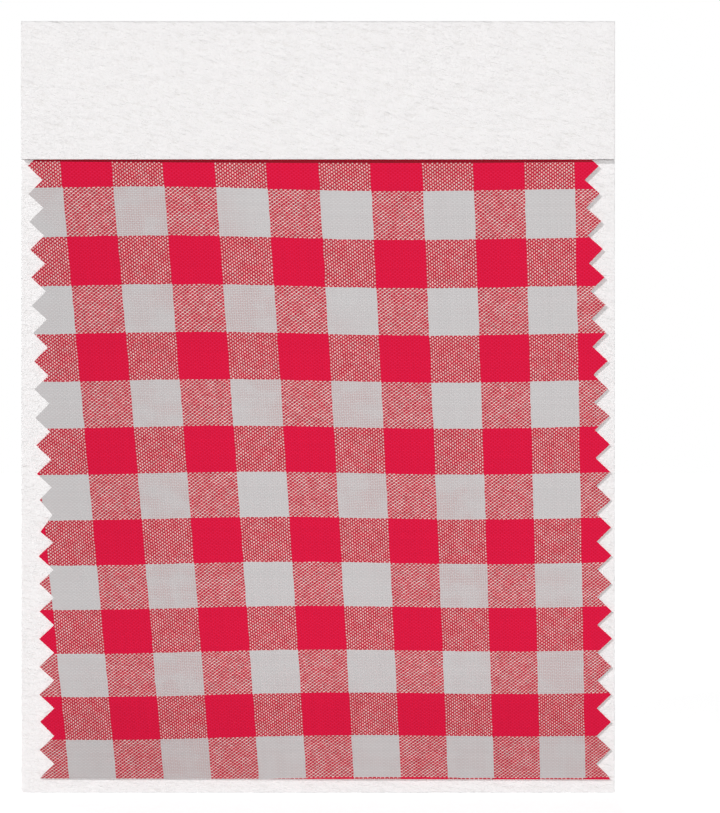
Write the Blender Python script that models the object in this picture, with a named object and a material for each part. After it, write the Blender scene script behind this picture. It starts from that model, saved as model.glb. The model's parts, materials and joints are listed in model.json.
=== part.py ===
"""Fabric sample card: a folded header card holds the top edge of a pinked piece of cloth
over a stiff backing card, and the rest of the cloth hangs free and can be lifted.

The card hangs upright, with +X to the right, +Z up and its face looking along -Y.
The origin is the middle of the header card's back face, which lies on whatever it hangs on.
Lengths are in metres.
"""

import math

import bmesh
import bpy
from mathutils import Vector

# Card blanks
HEADER_WIDTH = 0.1483
HEADER_HEIGHT = 0.0346
HEADER_CARD = 0.0006
FOLD_RADIUS = 0.0009
BACKING_WIDTH = 0.1484
BACKING_CARD = 0.0012
BACKING_BELOW_CLOTH = 0.0038
CORNER_RADIUS = 0.0005
FOLD_CLEARANCE = 0.0003

# Cloth
CLOTH = 0.0004
CLOTH_VISIBLE_HEIGHT = 0.1545
CLOTH_TUCK = 0.0253
PINK_PITCH = 0.00695
PINK_DEPTH = 0.0033
LEFT_EDGE_LOW_X = -0.0695
LEFT_EDGE_LEAN = 0.031
LEFT_BEND_HEIGHT = 0.0545
LEFT_BEND_SOFTNESS = 0.015
RIGHT_EDGE_WIDEST_X = 0.0735
RIGHT_WIDEST_HEIGHT = 0.0395
RIGHT_EDGE_RADIUS = 1.9

# Double-sided tape, and the film of glue on each side of it
TAPE = 0.00015
GLUE_FILM = 0.0001
TAPE_WIDTH = 0.136
CLOTH_TAPE_HEIGHT = 0.012
BACK_TAPE_HEIGHT = 0.024
CLOTH_TAPE_CENTRE_Z = -0.003

# The cloth bends along the lift axis, just under the header card's lower edge
LIFT_AXIS_DROP = 0.0012
TUCK_ABOVE_AXIS = 0.0005
FLAP_BELOW_AXIS = 0.0003

ARC_STEPS = 6

# Levels along Z
HEADER_BOTTOM = -HEADER_HEIGHT / 2
HEADER_TOP = HEADER_HEIGHT / 2
CLOTH_BOTTOM = HEADER_BOTTOM - CLOTH_VISIBLE_HEIGHT
CLOTH_TOP = HEADER_BOTTOM + CLOTH_TUCK
BACKING_BOTTOM = CLOTH_BOTTOM - BACKING_BELOW_CLOTH
BACKING_TOP = HEADER_TOP - HEADER_CARD - FOLD_CLEARANCE
LIFT_AXIS_Z = HEADER_BOTTOM - LIFT_AXIS_DROP

# Layers from the back, at Y = 0, to the front: each value is the rear face of its layer
BACK_TAPE_REAR = -(HEADER_CARD + GLUE_FILM)
BACKING_REAR = BACK_TAPE_REAR - TAPE - GLUE_FILM
CLOTH_TAPE_REAR = BACKING_REAR - BACKING_CARD - GLUE_FILM
CLOTH_REAR = CLOTH_TAPE_REAR - TAPE - GLUE_FILM
FRONT_TAPE_REAR = CLOTH_REAR - CLOTH - GLUE_FILM
HEADER_FRONT_REAR = FRONT_TAPE_REAR - TAPE - GLUE_FILM
HEADER_FRONT = HEADER_FRONT_REAR - HEADER_CARD
LIFT_AXIS_Y = CLOTH_REAR - CLOTH / 2


def clear_scene():
    for leftover in list(bpy.data.objects):
        bpy.data.objects.remove(leftover, do_unlink=True)


def make_material(name, color, roughness):
    material = bpy.data.materials.new(name)
    material.use_nodes = True
    shader = material.node_tree.nodes["Principled BSDF"]
    shader.inputs["Base Color"].default_value = (*color, 1.0)
    shader.inputs["Roughness"].default_value = roughness
    shader.inputs["Metallic"].default_value = 0.0
    return material


def strip_solid(name, first_row, second_row, thickness, place, material):
    """Fill the strip between two rows of points, extrude it by thickness, and place it."""
    bm = bmesh.new()
    first = [bm.verts.new(point) for point in first_row]
    second = [bm.verts.new(point) for point in second_row]
    for step in range(len(first) - 1):
        bm.faces.new((first[step], second[step], second[step + 1], first[step + 1]))
    extruded = bmesh.ops.extrude_face_region(bm, geom=bm.faces[:])
    moved = [item for item in extruded["geom"] if isinstance(item, bmesh.types.BMVert)]
    bmesh.ops.translate(bm, verts=moved, vec=thickness)
    bmesh.ops.recalc_face_normals(bm, faces=bm.faces[:])
    mesh = bpy.data.meshes.new(name)
    bm.to_mesh(mesh)
    bm.free()
    mesh.materials.append(material)
    piece = bpy.data.objects.new(name, mesh)
    piece.location = place
    bpy.context.collection.objects.link(piece)
    return piece


def arc(centre_a, centre_b, radius, start, end):
    """Points on an arc in a plane, from the start angle to the end angle in degrees."""
    points = []
    for step in range(ARC_STEPS + 1):
        angle = math.radians(start + (end - start) * step / ARC_STEPS)
        points.append((centre_a + radius * math.cos(angle), centre_b + radius * math.sin(angle)))
    return points


def backing_card(material):
    """A stiff card with softly rounded corners, as wide as the header."""
    half_width = BACKING_WIDTH / 2
    half_height = (BACKING_TOP - BACKING_BOTTOM) / 2
    across = half_width - CORNER_RADIUS
    up = half_height - CORNER_RADIUS
    right = arc(across, -up, CORNER_RADIUS, -90, 0) + arc(across, up, CORNER_RADIUS, 0, 90)
    right_row = [(x, 0, z) for x, z in right]
    left_row = [(-x, 0, z) for x, z in right]
    place = (0, BACKING_REAR, (BACKING_TOP + BACKING_BOTTOM) / 2)
    strip_solid("backing_card", left_row, right_row, Vector((0, -BACKING_CARD, 0)), place, material)


def header_card(material):
    """One strip of card folded over the top edge, its two panels hanging to the same height."""
    front_centre = HEADER_FRONT + FOLD_RADIUS
    back_centre = -FOLD_RADIUS
    fold_centre = HEADER_TOP - FOLD_RADIUS
    inner_radius = FOLD_RADIUS - HEADER_CARD
    outer = [(HEADER_FRONT, HEADER_BOTTOM)]
    outer += arc(front_centre, fold_centre, FOLD_RADIUS, 180, 90)
    outer += arc(back_centre, fold_centre, FOLD_RADIUS, 90, 0)
    outer += [(0, HEADER_BOTTOM)]
    inner = [(HEADER_FRONT_REAR, HEADER_BOTTOM)]
    inner += arc(front_centre, fold_centre, inner_radius, 180, 90)
    inner += arc(back_centre, fold_centre, inner_radius, 90, 0)
    inner += [(-HEADER_CARD, HEADER_BOTTOM)]
    outer_row = [(0, y, z) for y, z in outer]
    inner_row = [(0, y, z) for y, z in inner]
    place = (-HEADER_WIDTH / 2, 0, 0)
    strip_solid("header_card", outer_row, inner_row, Vector((HEADER_WIDTH, 0, 0)), place, material)


def left_edge(z):
    """The cut line through the left tooth tips: it leans outwards above a soft bend."""
    above = z - (CLOTH_BOTTOM + LEFT_BEND_HEIGHT)
    leaning = (above + math.hypot(above, LEFT_BEND_SOFTNESS)) / 2
    return LEFT_EDGE_LOW_X - LEFT_EDGE_LEAN * leaning


def right_edge(z):
    """The cut line through the right tooth tips: a shallow arc, widest near the bottom."""
    from_widest = z - (CLOTH_BOTTOM + RIGHT_WIDEST_HEIGHT)
    return RIGHT_EDGE_WIDEST_X - from_widest ** 2 / (2 * RIGHT_EDGE_RADIUS)


def pink_inset(z):
    """How far the pinked edge lies inside its cut line: none at a tip, the full depth between."""
    phase = (z - CLOTH_BOTTOM) / PINK_PITCH % 1.0
    return PINK_DEPTH * (1 - abs(2 * phase - 1))


def pink_levels(low, high):
    """The heights from low to high at which a pinked edge turns."""
    half_pitch = PINK_PITCH / 2
    first = math.floor((low - CLOTH_BOTTOM) / half_pitch) + 1
    last = math.ceil((high - CLOTH_BOTTOM) / half_pitch) - 1
    turns = [CLOTH_BOTTOM + index * half_pitch for index in range(first, last + 1)]
    return [low] + turns + [high]


def cloth_piece(name, low, high, place, material):
    """The stretch of cloth between two heights, with its pinked sides, about a local origin."""
    left_row = []
    right_row = []
    for z in pink_levels(low, high):
        inset = pink_inset(z)
        left_row.append((left_edge(z) + inset, CLOTH_REAR - place.y, z - place.z))
        right_row.append((right_edge(z) - inset, CLOTH_REAR - place.y, z - place.z))
    return strip_solid(name, left_row, right_row, Vector((0, -CLOTH, 0)), place, material)


def tape_strip(name, rear, centre_z, height, material):
    """A flat strip of double-sided tape."""
    half_width = TAPE_WIDTH / 2
    half_height = height / 2
    left_row = [(-half_width, 0, -half_height), (-half_width, 0, half_height)]
    right_row = [(half_width, 0, -half_height), (half_width, 0, half_height)]
    place = (0, rear, centre_z)
    strip_solid(name, left_row, right_row, Vector((0, -TAPE, 0)), place, material)


def build():
    clear_scene()
    header_white = make_material("header_white", (0.87, 0.855, 0.85), 0.85)
    backing_white = make_material("backing_white", (0.88, 0.865, 0.86), 0.85)
    gingham = make_material("gingham", (0.55, 0.12, 0.15), 0.9)
    tape_clear = make_material("tape_clear", (0.85, 0.83, 0.76), 0.5)

    backing_card(backing_white)
    header_card(header_white)
    tape_strip("header_back_tape", BACK_TAPE_REAR, 0.0, BACK_TAPE_HEIGHT, tape_clear)
    tape_strip("cloth_back_tape", CLOTH_TAPE_REAR, CLOTH_TAPE_CENTRE_Z, CLOTH_TAPE_HEIGHT, tape_clear)
    tape_strip("header_front_tape", FRONT_TAPE_REAR, CLOTH_TAPE_CENTRE_Z, CLOTH_TAPE_HEIGHT, tape_clear)

    lift_axis = Vector((0, LIFT_AXIS_Y, LIFT_AXIS_Z))
    tuck_bottom = LIFT_AXIS_Z + TUCK_ABOVE_AXIS
    flap_top = LIFT_AXIS_Z - FLAP_BELOW_AXIS
    cloth_piece("cloth_top_edge", tuck_bottom, CLOTH_TOP, Vector((0, LIFT_AXIS_Y, 0)), gingham)
    cloth_piece("cloth_sample", CLOTH_BOTTOM, flap_top, lift_axis, gingham)


build()
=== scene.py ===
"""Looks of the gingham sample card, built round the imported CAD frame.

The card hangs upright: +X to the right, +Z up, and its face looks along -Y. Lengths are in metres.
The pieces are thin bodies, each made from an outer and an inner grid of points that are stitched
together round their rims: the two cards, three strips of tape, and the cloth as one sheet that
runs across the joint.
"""

import json
import math

import bpy
import numpy as np
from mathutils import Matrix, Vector


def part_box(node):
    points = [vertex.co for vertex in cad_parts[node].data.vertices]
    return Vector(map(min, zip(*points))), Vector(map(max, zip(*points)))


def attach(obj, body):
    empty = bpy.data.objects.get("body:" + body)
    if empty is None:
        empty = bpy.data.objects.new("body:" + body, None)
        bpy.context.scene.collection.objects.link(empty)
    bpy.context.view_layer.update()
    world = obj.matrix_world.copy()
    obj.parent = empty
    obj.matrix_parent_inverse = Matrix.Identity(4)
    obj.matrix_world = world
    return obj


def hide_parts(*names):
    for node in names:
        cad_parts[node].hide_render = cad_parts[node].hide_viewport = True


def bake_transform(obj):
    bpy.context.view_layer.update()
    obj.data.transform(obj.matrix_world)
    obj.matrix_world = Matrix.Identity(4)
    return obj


# Camera: the height that the picture shows at the cloth, and where its middle is
VIEW_HEIGHT = 0.20325
FRAME_CENTRE_X = 0.01049
FRAME_CENTRE_Z = -0.0790
SENSOR = 36.0
LENS = 150.0

# Light: each side has a lamp above it that casts the shadows and a level one that fills them
KEY_FROM = Vector((-0.65, -1.0, 0.6))
KEY_STRENGTH = 1.52
KEY_ANGLE = math.radians(2)
FILL_FROM = Vector((0.0, -1.0, 0.045))
FILL_STRENGTH = 1.43
FILL_ANGLE = math.radians(4)
BACK_LIGHT_FROM = Vector((-0.5, 1.0, 0.7))
BACK_LIGHT_STRENGTH = 1.0
BACK_FILL_FROM = Vector((0.0, 1.0, 0.2))
AMBIENT = 0.12

# Floor: a disc just below the card, with a glow that keeps it as white as the page behind it
FLOOR_GLOW = 0.75
FLOOR_RADIUS = 4.0
FLOOR_SIDES = 64
FLOOR_GAP = 0.0002

# Cut edges and corners of the cards
CARD_EDGE_ROUND = 0.0001
CARD_CORNER = 0.0005
CARD_GRID = 0.0015
RIM_LINES = (0.0, 0.00003, 0.0001, 0.00018, 0.00026, 0.00034, 0.00042, 0.0005, 0.0006, 0.0008)
SHARP_ANGLE = math.radians(50)

# Header card: one strip folded over the top, with a shallow line pressed along its lower edge
HEADER_CARD = 0.0006
FOLD_RADIUS = 0.0009
FOLD_LINES = 29
PRESS_LINE_IN = 0.0004
PRESS_LINE_WIDTH = 0.00013
PRESS_LINE_DEPTH = 0.00004

# Tape
TAPE_TOOTH = 0.0016
TAPE_TOOTH_DEPTH = 0.0007
TAPE_COLUMNS = 60
POINTS_PER_TAPE_TOOTH = 4
TAPE_RELIEF = 0.00004

# Cloth: its outline. The right edge is 0.1 mm inside the CAD model's and the notches 0.3 mm deeper
PINK_PITCH = 0.00695
PINK_DEPTH = 0.0036
LEFT_EDGE_LOW_X = -0.0695
LEFT_EDGE_LEAN = 0.031
LEFT_BEND_HEIGHT = 0.0545
LEFT_BEND_SOFTNESS = 0.015
RIGHT_EDGE_WIDEST_X = 0.0734
RIGHT_WIDEST_HEIGHT = 0.0395
RIGHT_EDGE_RADIUS = 1.9

# Cloth: how its teeth and its bottom cut differ from a perfect outline
TIP_JITTER = 0.00012
WORN_TEETH = {9: (0.0005, -0.0008), 10: (0.00045, 0.0003)}
LEFT_WANDER = 0.0004
LEFT_WANDER_TOOTH = 11.5
LEFT_WANDER_TEETH = 4.5
BOTTOM_DROP = 0.0003
BOTTOM_SLOPE = 0.0018

# Cloth: its grid of points and its surface
CLOTH_THICKNESS = 0.0003
EDGE_BAND = 0.0025
BAND_COLUMNS = 5
MIDDLE_COLUMNS = 92
ROWS_PER_TOOTH = 8
BEND_ROW_SPLIT = 3
BEND_ABOVE = 0.0006
BEND_BELOW = 0.0055
SETTLE = 0.00004
SETTLE_LENGTH = 0.014
RIPPLE = 0.00007
EDGE_LIFT = 0.0005
EDGE_LIFT_Z = -0.034
EDGE_LIFT_LENGTH = 0.045
EDGE_LIFT_WIDTH = 0.014

# Checks: how many to a metre across and down, where they start, and how they lean
COLUMNS_PER_METRE = 83.5
COLUMN_START = 4.995
COLUMN_LEAN = 6.4
ROWS_PER_METRE = 80.3
ROW_START = -1.98
ROW_LEAN = -0.5

# Checks: how their size changes along X and Z, then the height, X and Z rates and phase of the
# slow waves that spread the columns and bow the rows
TAPER_X = -0.1
TAPER_Z = 0.52
COLUMN_SPREAD = (0.61, 2.06, -0.18, 1.429)
ROW_BOW = (0.034, 9.23, 2.89, 2.685)

# Painted shadow of the header: a dark red line on the cloth along its lower edge, widest right of
# the middle
HEADER_SHADE_WIDTH = 0.00094
HEADER_SHADE_NARROWING = 0.08
HEADER_SHADE_CENTRE_X = 0.012

# Weave: yarns in a check, how round their faces are, how far the weft stands above the warp, and
# how much the weft's faces slant where it crosses the other colour
ENDS_PER_CHECK = 22
PICKS_PER_CHECK = 28
YARN_ROUNDNESS = 7.5
WEFT_LEAD = 0.15
WEFT_SLANT = 0.4
YARN_RELIEF = 0.000025

# Weave: the size, in checks, of the patches where slubs make the mixed checks redder
SLUB_SIZE = (0.21, 0.26, 1.0)

# Paper: the size of its swells, felt marks and grain, their slope, how much the swells and the
# grain add to the marks, and the depth of the relief
PAPER_SWELL = (0.007, 0.007, 0.0024)
FELT_MARK = (0.0032, 0.0032, 0.0009)
PAPER_GRAIN = (0.0005, 0.0005, 0.0003)
FELT_SLOPE = math.radians(16)
SWELL_SHARE = 1.2
GRAIN_SHARE = 0.6
PAPER_RELIEF = 0.0005

# Paper: how bright each card is, and how far its pattern is moved so that the two differ
HEADER_BRIGHTNESS = 1.022
HEADER_SHIFT = (0.0, 0.0, 0.0)
BACKING_BRIGHTNESS = 1.032
BACKING_SHIFT = (0.31, 0.17, 0.05)


class Graph:
    """One material and short calls that add nodes to it; each call returns an output socket."""

    def __init__(self, name):
        self.material = bpy.data.materials.new(name)
        self.material.use_nodes = True
        self.nodes = self.material.node_tree.nodes
        self.links = self.material.node_tree.links
        self.shader = self.nodes["Principled BSDF"]

    def feed(self, socket, value):
        if isinstance(value, bpy.types.NodeSocket):
            self.links.new(value, socket)
        else:
            socket.default_value = value

    def finish(self, color, roughness, normal=None):
        self.feed(self.shader.inputs["Base Color"], color)
        self.feed(self.shader.inputs["Roughness"], roughness)
        if normal is not None:
            self.feed(self.shader.inputs["Normal"], normal)
        return self.material

    def math(self, operation, *values):
        node = self.nodes.new("ShaderNodeMath")
        node.operation = operation
        for socket, value in zip(node.inputs, values):
            self.feed(socket, value)
        return node.outputs[0]

    def smooth(self, value, low, high, out_low=0.0, out_high=1.0):
        """A smooth step from out_low, where value is low, to out_high, where it is high."""
        node = self.nodes.new("ShaderNodeMapRange")
        node.interpolation_type = "SMOOTHSTEP"
        for socket, amount in zip(node.inputs, (value, low, high, out_low, out_high)):
            self.feed(socket, amount)
        return node.outputs[0]

    def blend(self, factor, first, second, how="MIX"):
        node = self.nodes.new("ShaderNodeMix")
        node.data_type = "RGBA"
        node.blend_type = how
        self.feed(node.inputs[0], factor)
        self.feed(node.inputs[6], first)
        self.feed(node.inputs[7], second)
        return node.outputs[2]

    def grey(self, value):
        node = self.nodes.new("ShaderNodeCombineColor")
        for socket in node.inputs:
            self.feed(socket, value)
        return node.outputs[0]

    def vector(self, x=0.0, y=0.0, z=0.0):
        node = self.nodes.new("ShaderNodeCombineXYZ")
        for socket, value in zip(node.inputs, (x, y, z)):
            self.feed(socket, value)
        return node.outputs[0]

    def split(self, vector):
        node = self.nodes.new("ShaderNodeSeparateXYZ")
        self.feed(node.inputs[0], vector)
        return node.outputs[0], node.outputs[1], node.outputs[2]

    def attribute(self, name, kind="Vector"):
        node = self.nodes.new("ShaderNodeAttribute")
        node.attribute_name = name
        return node.outputs[kind]

    def place(self):
        """The point's place on its own piece, in metres."""
        return self.nodes.new("ShaderNodeTexCoord").outputs["Object"]

    def stretched(self, vector, size, slope=0.0, shift=(0, 0, 0)):
        """Coordinates for a pattern with features of this size, sloping down to the right."""
        node = self.nodes.new("ShaderNodeMapping")
        node.vector_type = "TEXTURE"
        self.feed(node.inputs["Vector"], vector)
        node.inputs["Rotation"].default_value = (0, slope, 0)
        node.inputs["Scale"].default_value = size
        node.inputs["Location"].default_value = shift
        return node.outputs[0]

    def noise(self, vector, detail=2.0, roughness=0.5):
        node = self.nodes.new("ShaderNodeTexNoise")
        self.feed(node.inputs["Vector"], vector)
        node.inputs["Scale"].default_value = 1.0
        node.inputs["Detail"].default_value = detail
        node.inputs["Roughness"].default_value = roughness
        return node.outputs[0]

    def random(self, x, y):
        """A random amount from 0 to 1 for each pair of values."""
        node = self.nodes.new("ShaderNodeTexWhiteNoise")
        node.noise_dimensions = "2D"
        self.feed(node.inputs["Vector"], self.vector(x, y))
        return node.outputs[0]

    def bump(self, height, distance):
        node = self.nodes.new("ShaderNodeBump")
        node.inputs["Strength"].default_value = 1.0
        node.inputs["Distance"].default_value = distance
        self.feed(node.inputs["Height"], height)
        return node.outputs[0]


def stitch(name, front, back, material):
    """A closed thin body from two grids of points of one shape, joined round their rims."""
    rows, columns = front.shape[:2]
    count = rows * columns
    index = np.arange(count).reshape(rows, columns)
    low_left = index[:-1, :-1].ravel()
    low_right = index[:-1, 1:].ravel()
    high_right = index[1:, 1:].ravel()
    high_left = index[1:, :-1].ravel()
    front_faces = np.stack([low_left, low_right, high_right, high_left], axis=1)
    back_faces = front_faces[:, ::-1] + count
    rim = np.concatenate([index[0, :-1], index[:-1, -1], index[-1, :0:-1], index[:0:-1, 0]])
    onward = np.roll(rim, -1)
    rim_faces = np.stack([rim, rim + count, onward + count, onward], axis=1)
    points = np.concatenate([front.reshape(-1, 3), back.reshape(-1, 3)])
    faces = np.concatenate([front_faces, back_faces, rim_faces])
    mesh = bpy.data.meshes.new(name)
    mesh.from_pydata(points.tolist(), [], faces.tolist())
    mesh.materials.append(material)
    mesh.shade_smooth()
    mesh.set_sharp_from_angle(angle=SHARP_ANGLE)
    piece = bpy.data.objects.new(name, mesh)
    bpy.context.scene.collection.objects.link(piece)
    return piece


def soft_step(value, low, high):
    """0 below low, 1 above high, and a smooth curve between them."""
    share = np.clip((value - low) / (high - low), 0, 1)
    return share * share * (3 - 2 * share)


def rim_spaced(length, spacing):
    """Grid lines from 0 to length, close together near both ends, where a card's edge is round."""
    near = np.array(RIM_LINES)
    inside = length - 2 * near[-1]
    steps = max(2, math.ceil(inside / spacing))
    middle = near[-1] + inside * np.arange(1, steps) / steps
    return np.concatenate([near, middle, length - near[::-1]])


def rounded_outline(across, along, width, length, corner):
    """Move grid points near a rectangle's corners onto round corners.

    across runs from 0 to width and along from 0 to length. Returns the moved coordinates and
    each point's distance in from the outline.
    """
    half_width = width / 2
    half_length = length / 2
    x = across - half_width
    s = along - half_length
    over_x = np.clip((np.abs(x) - (half_width - corner)) / corner, 0, 1)
    over_s = np.clip((np.abs(s) - (half_length - corner)) / corner, 0, 1)
    round_x = over_x * np.sqrt(1 - over_s ** 2 / 2)
    round_s = over_s * np.sqrt(1 - over_x ** 2 / 2)
    both = (over_x > 0) & (over_s > 0)
    x = np.where(both, np.sign(x) * (half_width - corner + corner * round_x), x)
    s = np.where(both, np.sign(s) * (half_length - corner + corner * round_s), s)
    past_x = np.abs(x) - (half_width - corner)
    past_s = np.abs(s) - (half_length - corner)
    outside = np.hypot(np.maximum(past_x, 0), np.maximum(past_s, 0))
    inward = corner - outside - np.minimum(np.maximum(past_x, past_s), 0)
    return x + half_width, s + half_length, np.maximum(inward, 0)


def edge_drop(inward, radius):
    """How far a face falls away within radius of a rounded edge."""
    into = np.clip(inward / radius, 0, 1)
    return radius * (1 - np.sqrt(1 - (1 - into) ** 2))


def flat_card(name, low, high, material):
    """A card with rounded corners and softly rounded cut edges, filling the box low to high."""
    width = high.x - low.x
    height = high.z - low.z
    along, across = np.meshgrid(
        rim_spaced(height, CARD_GRID), rim_spaced(width, CARD_GRID), indexing="ij"
    )
    across, along, inward = rounded_outline(across, along, width, height, CARD_CORNER)
    drop = edge_drop(inward, CARD_EDGE_ROUND)
    x = low.x + across
    z = low.z + along
    front = np.stack([x, low.y + drop, z], axis=2)
    back = np.stack([x, high.y - drop, z], axis=2)
    return stitch(name, front, back, material)


class FoldPath:
    """The line that a folded strip follows: up the front, over the top and down the back."""

    def __init__(self, front, back, bottom, top, radius):
        self.front = front
        self.back = back
        self.bottom = bottom
        self.radius = radius
        self.rise = top - radius - bottom
        self.turn = radius * math.pi / 2
        self.flat = back - front - 2 * radius
        self.centre_z = top - radius
        self.length = 2 * self.rise + 2 * self.turn + self.flat

    def lines(self, spacing):
        """Distances along the path where a grid line runs: close together round the fold."""
        ends = rim_spaced(2 * self.rise, spacing)
        rising = ends[ends < self.rise]
        fold = np.linspace(self.rise, self.length - self.rise, FOLD_LINES)
        return np.concatenate([rising, fold, self.length - rising[::-1]])

    def at(self, distance):
        """The path's points and its outward normals, as Y and Z, at distances along it."""
        first = np.clip((distance - self.rise) / self.turn, 0, 1)
        second = np.clip((distance - self.rise - self.turn - self.flat) / self.turn, 0, 1)
        angle = (first + second) * math.pi / 2
        normal_y = -np.cos(angle)
        normal_z = np.sin(angle)
        over = np.clip(distance - self.rise - self.turn, 0, self.flat)
        climb = np.minimum(distance, self.rise)
        fall = np.clip(distance - (self.length - self.rise), 0, None)
        y = self.front + self.radius + over + self.radius * normal_y
        z = self.bottom + climb - fall + self.radius * normal_z
        return y, z, normal_y, normal_z


def folded_card(name, low, high, material):
    """The header: one strip of card folded over the top, with a line pressed along its front."""
    path = FoldPath(low.y, high.y, low.z, high.z, FOLD_RADIUS)
    width = high.x - low.x
    along, across = np.meshgrid(
        path.lines(CARD_GRID), rim_spaced(width, CARD_GRID), indexing="ij"
    )
    across, along, inward = rounded_outline(across, along, width, path.length, CARD_CORNER)
    drop = edge_drop(inward, CARD_EDGE_ROUND)
    pressed = np.exp(-(((along - PRESS_LINE_IN) / PRESS_LINE_WIDTH) ** 2)) * PRESS_LINE_DEPTH
    y, z, normal_y, normal_z = path.at(along)
    x = low.x + across
    outer = -(drop + pressed)
    inner = drop - HEADER_CARD
    front = np.stack([x, y + normal_y * outer, z + normal_z * outer], axis=2)
    back = np.stack([x, y + normal_y * inner, z + normal_z * inner], axis=2)
    return stitch(name, front, back, material)


def tape_strip(name, low, high, material):
    """A strip of tape whose ends have the small teeth that a dispenser's blade cuts."""
    width = high.x - low.x
    height = high.z - low.z
    teeth = max(2, round(height / TAPE_TOOTH))
    along = np.linspace(0, height, POINTS_PER_TAPE_TOOTH * teeth + 1)
    phase = along / height * teeth % 1.0
    notch = TAPE_TOOTH_DEPTH * (1 - np.abs(2 * phase - 1))
    share = np.linspace(0, 1, TAPE_COLUMNS)[None, :]
    x = low.x + notch[:, None] + (width - 2 * notch[:, None]) * share
    z = low.z + along[:, None] + 0 * x
    front = np.stack([x, low.y + 0 * x, z], axis=2)
    back = np.stack([x, high.y + 0 * x, z], axis=2)
    return stitch(name, front, back, material)


def slow_wave(x, z, height, x_rate, z_rate, phase):
    """A wave across the cloth, with this many turns to a metre along X and along Z."""
    return height * np.cos(2 * math.pi * (x_rate * x + z_rate * z) + phase)


def check_coordinates(x, z):
    """Which check of the gingham a point of the cloth lies on: columns across, rows down.

    The cloth was cut a few degrees off its grain and is pulled a little tighter towards the
    bottom, so the checks lean and taper. Slow ripples bow the rows and spread the columns.
    """
    taper = 1 + TAPER_X * x + TAPER_Z * z
    columns = (COLUMN_START + COLUMNS_PER_METRE * x + COLUMN_LEAN * z) / taper
    rows = (ROW_START + ROW_LEAN * x - ROWS_PER_METRE * z) / taper
    return columns + slow_wave(x, z, *COLUMN_SPREAD), rows + slow_wave(x, z, *ROW_BOW)


def left_edge(z, bottom):
    """The cut line through the left tooth tips: it leans outwards above a soft bend."""
    above = z - (bottom + LEFT_BEND_HEIGHT)
    leaning = (above + np.hypot(above, LEFT_BEND_SOFTNESS)) / 2
    return LEFT_EDGE_LOW_X - LEFT_EDGE_LEAN * leaning


def right_edge(z, bottom):
    """The cut line through the right tooth tips: a shallow arc, widest near the bottom."""
    from_widest = z - (bottom + RIGHT_WIDEST_HEIGHT)
    return RIGHT_EDGE_WIDEST_X - from_widest ** 2 / (2 * RIGHT_EDGE_RADIUS)


def cloth_levels(bottom, top, hinge_z):
    """Heights of the cloth's rows of points: all the tooth turns, and closer where it bends."""
    step = PINK_PITCH / ROWS_PER_TOOTH
    levels = [bottom]
    while levels[-1] < top - step / 2:
        start = levels[-1]
        bends = hinge_z - BEND_BELOW - step < start < hinge_z + BEND_ABOVE + step
        parts = BEND_ROW_SPLIT if bends else 1
        levels += [start + step * part / parts for part in range(1, parts + 1)]
    levels[-1] = top
    return np.array(levels)


def tooth_shifts(z, bottom, seed, worn, wander):
    """How far each row's edge point moves in and up, as each tooth is cut a little differently."""
    rng = np.random.RandomState(seed)
    along = (z - bottom) / PINK_PITCH
    tooth = np.rint(along).astype(int)
    shifts = rng.uniform(-TIP_JITTER, TIP_JITTER, (tooth.max() + 1, 2))
    for worn_tooth, shift in worn.items():
        shifts[worn_tooth] = shift
    shifts[0, 1] = 0
    nearness = 1 - np.abs(along - tooth) * 2
    slipped = wander * np.exp(-(((along - LEFT_WANDER_TOOTH) / LEFT_WANDER_TEETH) ** 2))
    return shifts[tooth, 0] * nearness, shifts[tooth, 1] * nearness - slipped


def cloth_depth(x, z, hinge_y, header_bottom, right_x):
    """Y of the middle of the cloth: held at the top, back on the card, its right edge lifting."""
    below = header_bottom - z
    settled = soft_step(below, 0.0, SETTLE_LENGTH)
    waves = np.sin(95 * x + 40 * z + 1.0) + 0.6 * np.sin(48 * x - 77 * z)
    ripple = RIPPLE * (1 + 0.6 * waves) * settled
    near_edge = soft_step(x, right_x - EDGE_LIFT_WIDTH, right_x)
    lift = EDGE_LIFT * near_edge * np.exp(-(((z - EDGE_LIFT_Z) / EDGE_LIFT_LENGTH) ** 2))
    return hinge_y + SETTLE * settled - ripple - lift


def cloth_grid(bottom, top, hinge_z):
    """The cloth's points as X, Z and the X of its right-hand tips, row by row from the bottom."""
    z = cloth_levels(bottom, top, hinge_z)
    phase = (z - bottom) / PINK_PITCH % 1.0
    inset = PINK_DEPTH * (1 - np.abs(2 * phase - 1))
    left_tips = left_edge(z, bottom)
    right_tips = right_edge(z, bottom)
    left_in, left_up = tooth_shifts(z, bottom, 3, WORN_TEETH, LEFT_WANDER)
    right_in, right_up = tooth_shifts(z, bottom, 5, {}, 0.0)
    left_band = left_tips + PINK_DEPTH + EDGE_BAND
    right_band = right_tips - PINK_DEPTH - EDGE_BAND
    band = np.linspace(0, 1, BAND_COLUMNS + 1)[None, :-1]
    middle = np.linspace(0, 1, MIDDLE_COLUMNS + 1)[None, :]
    left_cut = (left_tips + inset + left_in)[:, None]
    right_cut = (right_tips - inset - right_in)[:, None]
    x = np.concatenate(
        [
            left_cut + (left_band[:, None] - left_cut) * band,
            left_band[:, None] + (right_band - left_band)[:, None] * middle,
            (right_cut + (right_band[:, None] - right_cut) * band)[:, ::-1],
        ],
        axis=1,
    )
    still = np.zeros((1, MIDDLE_COLUMNS + 1))
    left_reach = np.concatenate([1 - band, still, 0 * band], axis=1)
    right_reach = np.concatenate([0 * band, still, (1 - band)[:, ::-1]], axis=1)
    z = z[:, None] + left_up[:, None] * left_reach + right_up[:, None] * right_reach
    z[0] -= BOTTOM_DROP + BOTTOM_SLOPE * x[0]
    return x, z, right_tips[:, None]


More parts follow.
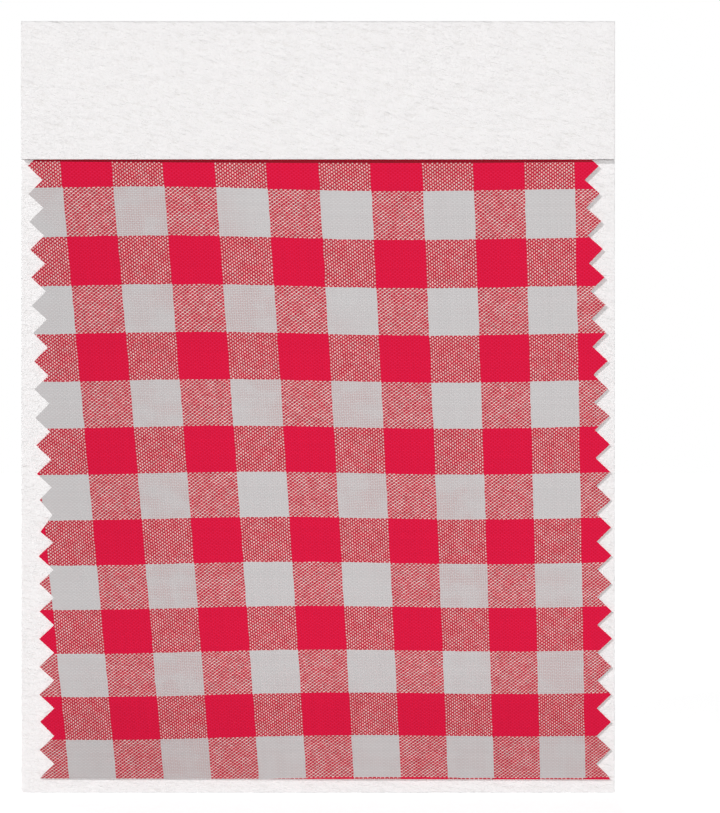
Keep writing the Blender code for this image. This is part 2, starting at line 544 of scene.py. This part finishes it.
def mark_weave(cloth, x, z):
    """Store where each point lies in the checks. The back shows the yarns that the front hides."""
    columns, rows = check_coordinates(x, z)
    front = np.stack([columns, rows, 0 * columns], axis=2)
    back = np.stack([columns + 1 / ENDS_PER_CHECK, rows, 0 * columns], axis=2)
    weave = np.concatenate([front.reshape(-1, 3), back.reshape(-1, 3)])
    attribute = cloth.data.attributes.new("weave", "FLOAT_VECTOR", "POINT")
    attribute.data.foreach_set("vector", weave.astype(np.float32).ravel())


def mark_header_shade(cloth, x, z, header_bottom):
    """Store how far below the header each point lies, as a share of the painted shadow line's
    height.
    """
    height = HEADER_SHADE_WIDTH - HEADER_SHADE_NARROWING * (x - HEADER_SHADE_CENTRE_X) ** 2
    from_header = np.tile(((header_bottom - z) / height).ravel(), 2)
    attribute = cloth.data.attributes.new("from_header", "FLOAT", "POINT")
    attribute.data.foreach_set("value", from_header.astype(np.float32))


def cloth_sheet(name, hinge, header_bottom, material):
    """The whole cloth as one sheet: pinked sides, straight top and bottom, gentle ripples."""
    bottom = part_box("cloth_sample")[0].z
    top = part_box("cloth_top_edge")[1].z
    x, z, right_tips = cloth_grid(bottom, top, hinge.z)
    y = cloth_depth(x, z, hinge.y, header_bottom, right_tips)
    front = np.stack([x, y - CLOTH_THICKNESS / 2, z], axis=2)
    back = np.stack([x, y + CLOTH_THICKNESS / 2, z], axis=2)
    cloth = stitch(name, front, back, material)
    mark_weave(cloth, x, z)
    mark_header_shade(cloth, x, z, header_bottom)
    return cloth


def paper_material(name, brightness, shift):
    """Felt-marked card: short soft streaks that slope down to the right, over a fine grain, with
    painted shade in the hollows.
    """
    graph = Graph(name)
    place = graph.place()
    swell = graph.noise(graph.stretched(place, PAPER_SWELL, FELT_SLOPE, shift), 1.0)
    marks = graph.noise(graph.stretched(place, FELT_MARK, FELT_SLOPE, shift), 4.0, 0.6)
    grain = graph.noise(graph.stretched(place, PAPER_GRAIN, FELT_SLOPE, shift), 2.0, 0.6)
    fine = graph.math("MULTIPLY_ADD", grain, GRAIN_SHARE, marks)
    height = graph.math("MULTIPLY_ADD", swell, SWELL_SHARE, fine)
    # Painted shade: the card is painted darker in the hollows of the marks and grain
    low = graph.smooth(fine, 0.78, 0.57)
    paper = graph.blend(low, (0.915, 0.897, 0.899, 1.0), (0.858, 0.838, 0.83, 1.0))
    paper = graph.blend(1.0, paper, graph.grey(brightness), "MULTIPLY")
    normal = graph.bump(height, PAPER_RELIEF)
    graph.shader.inputs["Specular IOR Level"].default_value = 0.25
    return graph.finish(paper, graph.smooth(marks, 0.2, 0.8, 0.95, 0.85), normal)


def tape_material():
    """Cream tissue tape with a fibrous, slightly glossy face."""
    graph = Graph("tissue_tape")
    fibres = graph.noise(graph.stretched(graph.place(), (0.0014, 0.0014, 0.0004)), 3.0, 0.6)
    cream = graph.blend(fibres, (0.84, 0.82, 0.74, 1.0), (0.9, 0.88, 0.82, 1.0))
    roughness = graph.smooth(fibres, 0.3, 0.7, 0.35, 0.55)
    return graph.finish(cream, roughness, graph.bump(fibres, TAPE_RELIEF))


class Weave:
    """Plain weave worked out at a point: each yarn goes over one yarn and under the next.

    The warp yarns (ends) run up the cloth and the weft yarns (picks) run across it. Every value is
    a node socket: which end and pick cross at the point, which of the two is on top there, whether
    they are red, and how high the cloth's face is.
    """

    def __init__(self, graph):
        self.graph = graph
        self.place = graph.attribute("weave")
        self.columns, self.rows, _ = graph.split(self.place)
        drift = graph.noise(graph.stretched(self.place, (0.3, 0.3, 1.0)))
        drift = graph.math("SUBTRACT", drift, 0.5)
        end_drift = graph.math("MULTIPLY", drift, 0.8)
        pick_drift = graph.math("MULTIPLY", drift, -0.9)
        ends = graph.math("MULTIPLY_ADD", self.columns, ENDS_PER_CHECK, end_drift)
        picks = graph.math("MULTIPLY_ADD", self.rows, PICKS_PER_CHECK, pick_drift)
        self.end = graph.math("FLOOR", ends)
        self.pick = graph.math("FLOOR", picks)
        across_end = graph.math("SUBTRACT", graph.math("SUBTRACT", ends, self.end), 0.5)
        across_pick = graph.math("SUBTRACT", graph.math("SUBTRACT", picks, self.pick), 0.5)
        self.warp_red = self.is_red(self.end, ENDS_PER_CHECK, 1.0)
        self.weft_red = self.is_red(self.pick, PICKS_PER_CHECK, 0.0)
        difference = graph.math("SUBTRACT", self.warp_red, self.weft_red)
        self.mixed = graph.math("ABSOLUTE", difference)

        odd = graph.math("FLOORED_MODULO", graph.math("ADD", self.end, self.pick), 2.0)
        warp_over = graph.math("MULTIPLY_ADD", odd, -2.0, 1.0)
        weft_over = graph.math("MULTIPLY_ADD", odd, 2.0, -1.0)
        slant = graph.math("MULTIPLY", self.mixed, WEFT_SLANT)
        slanted_pick = graph.math("MULTIPLY_ADD", across_end, slant, across_pick)
        warp_height = self.yarn_height(across_end, across_pick, warp_over)
        weft_height = self.yarn_height(slanted_pick, across_end, weft_over)
        weft_height = graph.math("ADD", weft_height, WEFT_LEAD)
        lead = graph.math("SUBTRACT", warp_height, weft_height)
        self.warp_on_top = graph.smooth(lead, -0.08, 0.08)
        self.top_red = graph.math("MULTIPLY_ADD", self.warp_on_top, difference, self.weft_red)
        self.height = graph.math("MAXIMUM", warp_height, weft_height)

    def yarn_height(self, across, along, over):
        """Height of a yarn's face: round across it, and rising and sinking along it."""
        squared = self.graph.math("MULTIPLY", across, across)
        bulge = self.graph.math("MULTIPLY_ADD", squared, -YARN_ROUNDNESS, 0.5)
        crimp = self.graph.math("COSINE", self.graph.math("MULTIPLY", along, math.pi))
        risen = self.graph.math("MULTIPLY", over, crimp)
        return self.graph.math("MULTIPLY_ADD", risen, 0.5, bulge)

    def is_red(self, yarn, per_check, first_red):
        """1 where a yarn is red and 0 where it is white: the dye changes from check to check."""
        middle = self.graph.math("ADD", yarn, 0.5)
        check = self.graph.math("FLOOR", self.graph.math("DIVIDE", middle, per_check))
        return self.graph.math("FLOORED_MODULO", self.graph.math("ADD", check, first_red), 2.0)


def pink_tint(graph, columns, rows):
    """How pink the gaps of the white checks are: most along a slanting band and a stripe."""
    patches = graph.noise(graph.stretched(graph.vector(columns, rows), (0.6, 0.5, 1.0)))
    patches = graph.smooth(patches, 0.35, 0.65, 0.5, 1.25)
    from_band = graph.math("MULTIPLY_ADD", rows, -0.83, graph.math("SUBTRACT", columns, 1.1))
    band = graph.smooth(graph.math("ABSOLUTE", from_band), 0.3, 2.6, 0.95, 0.0)
    from_stripe = graph.math("ABSOLUTE", graph.math("SUBTRACT", columns, 1.5))
    stripe = graph.smooth(from_stripe, 0.4, 1.7, 1.0, 0.0)
    stripe = graph.math("MULTIPLY", stripe, graph.smooth(rows, -4.0, 16.0, 0.2, 0.95))
    everywhere = graph.math("ADD", graph.smooth(rows, 8.0, 13.0, 0.0, 0.25), 0.1)
    tint = graph.math("ADD", graph.math("MAXIMUM", band, stripe), everywhere)
    return graph.math("MULTIPLY", tint, patches)


def yarn_color(graph, weave):
    """The yarn colours. Where red crosses white, bounced light and shade are painted in: the white
    faces pinker and brighter, the red faces and the gaps darker.

    Slubs make both of them redder in places.
    """

    def woven(warp_color, weft_color):
        """The colour of a face of one dye: the warp's where it is on top, or the weft's."""
        return graph.blend(weave.warp_on_top, weft_color, warp_color)

    plain_white = woven((0.563, 0.54, 0.542, 1.0), (0.615, 0.605, 0.607, 1.0))
    plain_red = woven((0.685, 0.004, 0.032, 1.0), (0.745, 0.0135, 0.067, 1.0))
    # Painted light and shade where red crosses white: pink, bright white faces and darker red
    # faces
    pale_white = woven((0.81, 0.61, 0.59, 1.0), (0.79, 0.645, 0.62, 1.0))
    pink_white = woven((0.81, 0.41, 0.405, 1.0), (0.79, 0.44, 0.43, 1.0))
    slubs = graph.noise(graph.stretched(weave.place, SLUB_SIZE), 3.0, 0.6)
    slubs = graph.smooth(slubs, 0.34, 0.66)
    painted_mixed_white = graph.blend(slubs, pale_white, pink_white)
    painted_mixed_red = woven((0.5, 0.008, 0.036, 1.0), (0.52, 0.008, 0.036, 1.0))
    tint = pink_tint(graph, weave.columns, weave.rows)
    white_gap = graph.blend(tint, (0.575, 0.562, 0.566, 1.0), (0.535, 0.39, 0.39, 1.0))
    plain_gap = graph.blend(weave.top_red, white_gap, (0.69, 0.0085, 0.052, 1.0))
    # Painted shade: the gaps between red and white yarns are dark
    painted_mixed_gap = graph.blend(slubs, (0.54, 0.1, 0.12, 1.0), (0.54, 0.05, 0.076, 1.0))
    plain_face = graph.blend(weave.top_red, plain_white, plain_red)
    mixed_face = graph.blend(weave.top_red, painted_mixed_white, painted_mixed_red)
    face = graph.blend(weave.mixed, plain_face, mixed_face)
    gap = graph.blend(weave.mixed, plain_gap, painted_mixed_gap)
    return graph.blend(graph.smooth(weave.height, 0.36, 0.51), gap, face)


def yarn_shade(graph, weave):
    """Small differences from yarn to yarn, painted shade below the header, and darker bottom and
    left.
    """
    end_shade = graph.grey(graph.random(weave.end, 0.5))
    pick_shade = graph.grey(graph.random(0.5, weave.pick))
    shade = graph.blend(weave.warp_on_top, pick_shade, end_shade)
    shade = graph.smooth(shade, 0.0, 1.0, 0.96, 1.0)
    uneven = graph.math("SUBTRACT", graph.random(weave.end, weave.pick), 0.5)
    uneven = graph.math("MULTIPLY", uneven, 0.24)
    shade = graph.math("MULTIPLY_ADD", uneven, weave.mixed, shade)
    # Painted shade: the rows just below the header card are darker; the bottom rows and left
    # columns are darker too
    painted_shade_below_header = graph.smooth(weave.rows, -2.2, 0.0, 0.965, 1.0)
    lower = graph.smooth(weave.rows, 10.4, 11.8, 1.0, 0.93)
    left = graph.smooth(weave.columns, -0.5, 4.0, 0.945, 1.0)
    slow = graph.math("MULTIPLY", graph.math("MULTIPLY", painted_shade_below_header, lower), left)
    return graph.math("MULTIPLY", slow, shade)


def gingham_material():
    """Red and white gingham cotton, with the header's shadow painted as a dark line below it."""
    graph = Graph("gingham_cotton")
    weave = Weave(graph)
    shade = graph.grey(yarn_shade(graph, weave))
    color = graph.blend(1.0, yarn_color(graph, weave), shade, "MULTIPLY")
    # Painted shadow: a dark red line on the cloth just below the header card
    from_header = graph.attribute("from_header", "Fac")
    deeper = graph.smooth(from_header, 0.3, 0.75)
    painted_header_shadow = graph.blend(deeper, (0.43, 0.012, 0.03, 1.0), (0.235, 0.012, 0.02, 1.0))
    color = graph.blend(graph.smooth(from_header, 0.82, 0.98, 1.0, 0.0), color, painted_header_shadow)
    graph.shader.inputs["Specular IOR Level"].default_value = 0.1
    return graph.finish(color, 0.95, graph.bump(weave.height, YARN_RELIEF))


def floor_material():
    """A plain white floor, with a glow that only the camera sees and that keeps it white."""
    graph = Graph("studio_floor")
    path = graph.nodes.new("ShaderNodeLightPath")
    glow = graph.math("MULTIPLY", path.outputs["Is Camera Ray"], FLOOR_GLOW)
    graph.feed(graph.shader.inputs["Emission Strength"], glow)
    graph.shader.inputs["Emission Color"].default_value = (1.0, 1.0, 1.0, 1.0)
    graph.shader.inputs["Specular IOR Level"].default_value = 0.0
    return graph.finish((0.6, 0.6, 0.6, 1.0), 1.0)


def make_floor(height):
    mesh = bpy.data.meshes.new("studio_floor")
    turn = 2 * math.pi / FLOOR_SIDES
    rim = [
        (FLOOR_RADIUS * math.cos(turn * k), FLOOR_RADIUS * math.sin(turn * k), height)
        for k in range(FLOOR_SIDES)
    ]
    mesh.from_pydata(rim, [], [list(range(FLOOR_SIDES))])
    mesh.materials.append(floor_material())
    floor = bpy.data.objects.new("studio_floor", mesh)
    bpy.context.scene.collection.objects.link(floor)


def make_sun(name, comes_from, strength, angle):
    light = bpy.data.lights.new(name, "SUN")
    light.energy = strength
    light.angle = angle
    lamp = bpy.data.objects.new(name, light)
    lamp.rotation_euler = comes_from.to_track_quat("Z", "Y").to_euler()
    bpy.context.scene.collection.objects.link(lamp)


def make_world():
    """Even white light from all round, with a pure white page behind the object."""
    world = bpy.data.worlds.new("studio_light")
    world.use_nodes = True
    nodes = world.node_tree.nodes
    links = world.node_tree.links
    nodes.clear()
    seen = nodes.new("ShaderNodeBackground")
    seen.inputs["Color"].default_value = (1.0, 1.0, 1.0, 1.0)
    light = nodes.new("ShaderNodeBackground")
    light.inputs["Color"].default_value = (1.0, 1.0, 1.0, 1.0)
    light.inputs["Strength"].default_value = AMBIENT
    path = nodes.new("ShaderNodeLightPath")
    choose = nodes.new("ShaderNodeMixShader")
    output = nodes.new("ShaderNodeOutputWorld")
    links.new(path.outputs["Is Camera Ray"], choose.inputs[0])
    links.new(light.outputs[0], choose.inputs[1])
    links.new(seen.outputs[0], choose.inputs[2])
    links.new(choose.outputs[0], output.inputs[0])
    bpy.context.scene.world = world


def make_camera(cloth_y):
    """A long lens square on to the card, as far off as shows the view's height at the cloth."""
    camera = bpy.data.cameras.new("camera")
    camera.lens = LENS
    camera.sensor_width = SENSOR
    camera.clip_start = 0.05
    distance = VIEW_HEIGHT * LENS / SENSOR
    viewer = bpy.data.objects.new("camera", camera)
    viewer.location = (FRAME_CENTRE_X, cloth_y - distance, FRAME_CENTRE_Z)
    viewer.rotation_euler = (math.radians(90), 0, 0)
    bpy.context.scene.collection.objects.link(viewer)
    bpy.context.scene.camera = viewer


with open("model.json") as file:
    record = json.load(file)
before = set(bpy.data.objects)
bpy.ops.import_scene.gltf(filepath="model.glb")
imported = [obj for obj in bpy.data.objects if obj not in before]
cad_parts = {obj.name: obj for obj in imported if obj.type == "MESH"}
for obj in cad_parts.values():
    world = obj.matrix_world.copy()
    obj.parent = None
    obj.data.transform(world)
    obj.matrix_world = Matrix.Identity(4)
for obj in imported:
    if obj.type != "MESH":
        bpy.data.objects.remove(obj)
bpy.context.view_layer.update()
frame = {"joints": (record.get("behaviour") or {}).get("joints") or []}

hinge = Vector(frame["joints"][0]["pos_m"])
header_low, header_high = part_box("header_card")
backing_low, backing_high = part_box("backing_card")

bpy.context.scene.view_settings.view_transform = "Standard"
make_camera(hinge.y)
make_world()
make_sun("key_light", KEY_FROM, KEY_STRENGTH, KEY_ANGLE)
make_sun("fill_light", FILL_FROM, FILL_STRENGTH, FILL_ANGLE)
make_sun("back_light", BACK_LIGHT_FROM, BACK_LIGHT_STRENGTH, KEY_ANGLE)
make_sun("back_fill_light", BACK_FILL_FROM, FILL_STRENGTH, FILL_ANGLE)
make_floor(backing_low.z - FLOOR_GAP)

header_paper = paper_material("header_paper", HEADER_BRIGHTNESS, HEADER_SHIFT)
header = folded_card("header_paper_card", header_low, header_high, header_paper)
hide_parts("header_card")
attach(header, "card")

backing_paper = paper_material("backing_paper", BACKING_BRIGHTNESS, BACKING_SHIFT)
backing = flat_card("backing_paper_card", backing_low, backing_high, backing_paper)
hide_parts("backing_card")
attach(backing, "card")

tape = tape_material()
for node in ("header_front_tape", "cloth_back_tape", "header_back_tape"):
    strip = tape_strip(node + "_strip", *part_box(node), tape)
    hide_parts(node)
    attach(strip, "card")

cloth = cloth_sheet("gingham_cloth", hinge, header_low.z, gingham_material())
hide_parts("cloth_top_edge", "cloth_sample")
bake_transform(cloth)
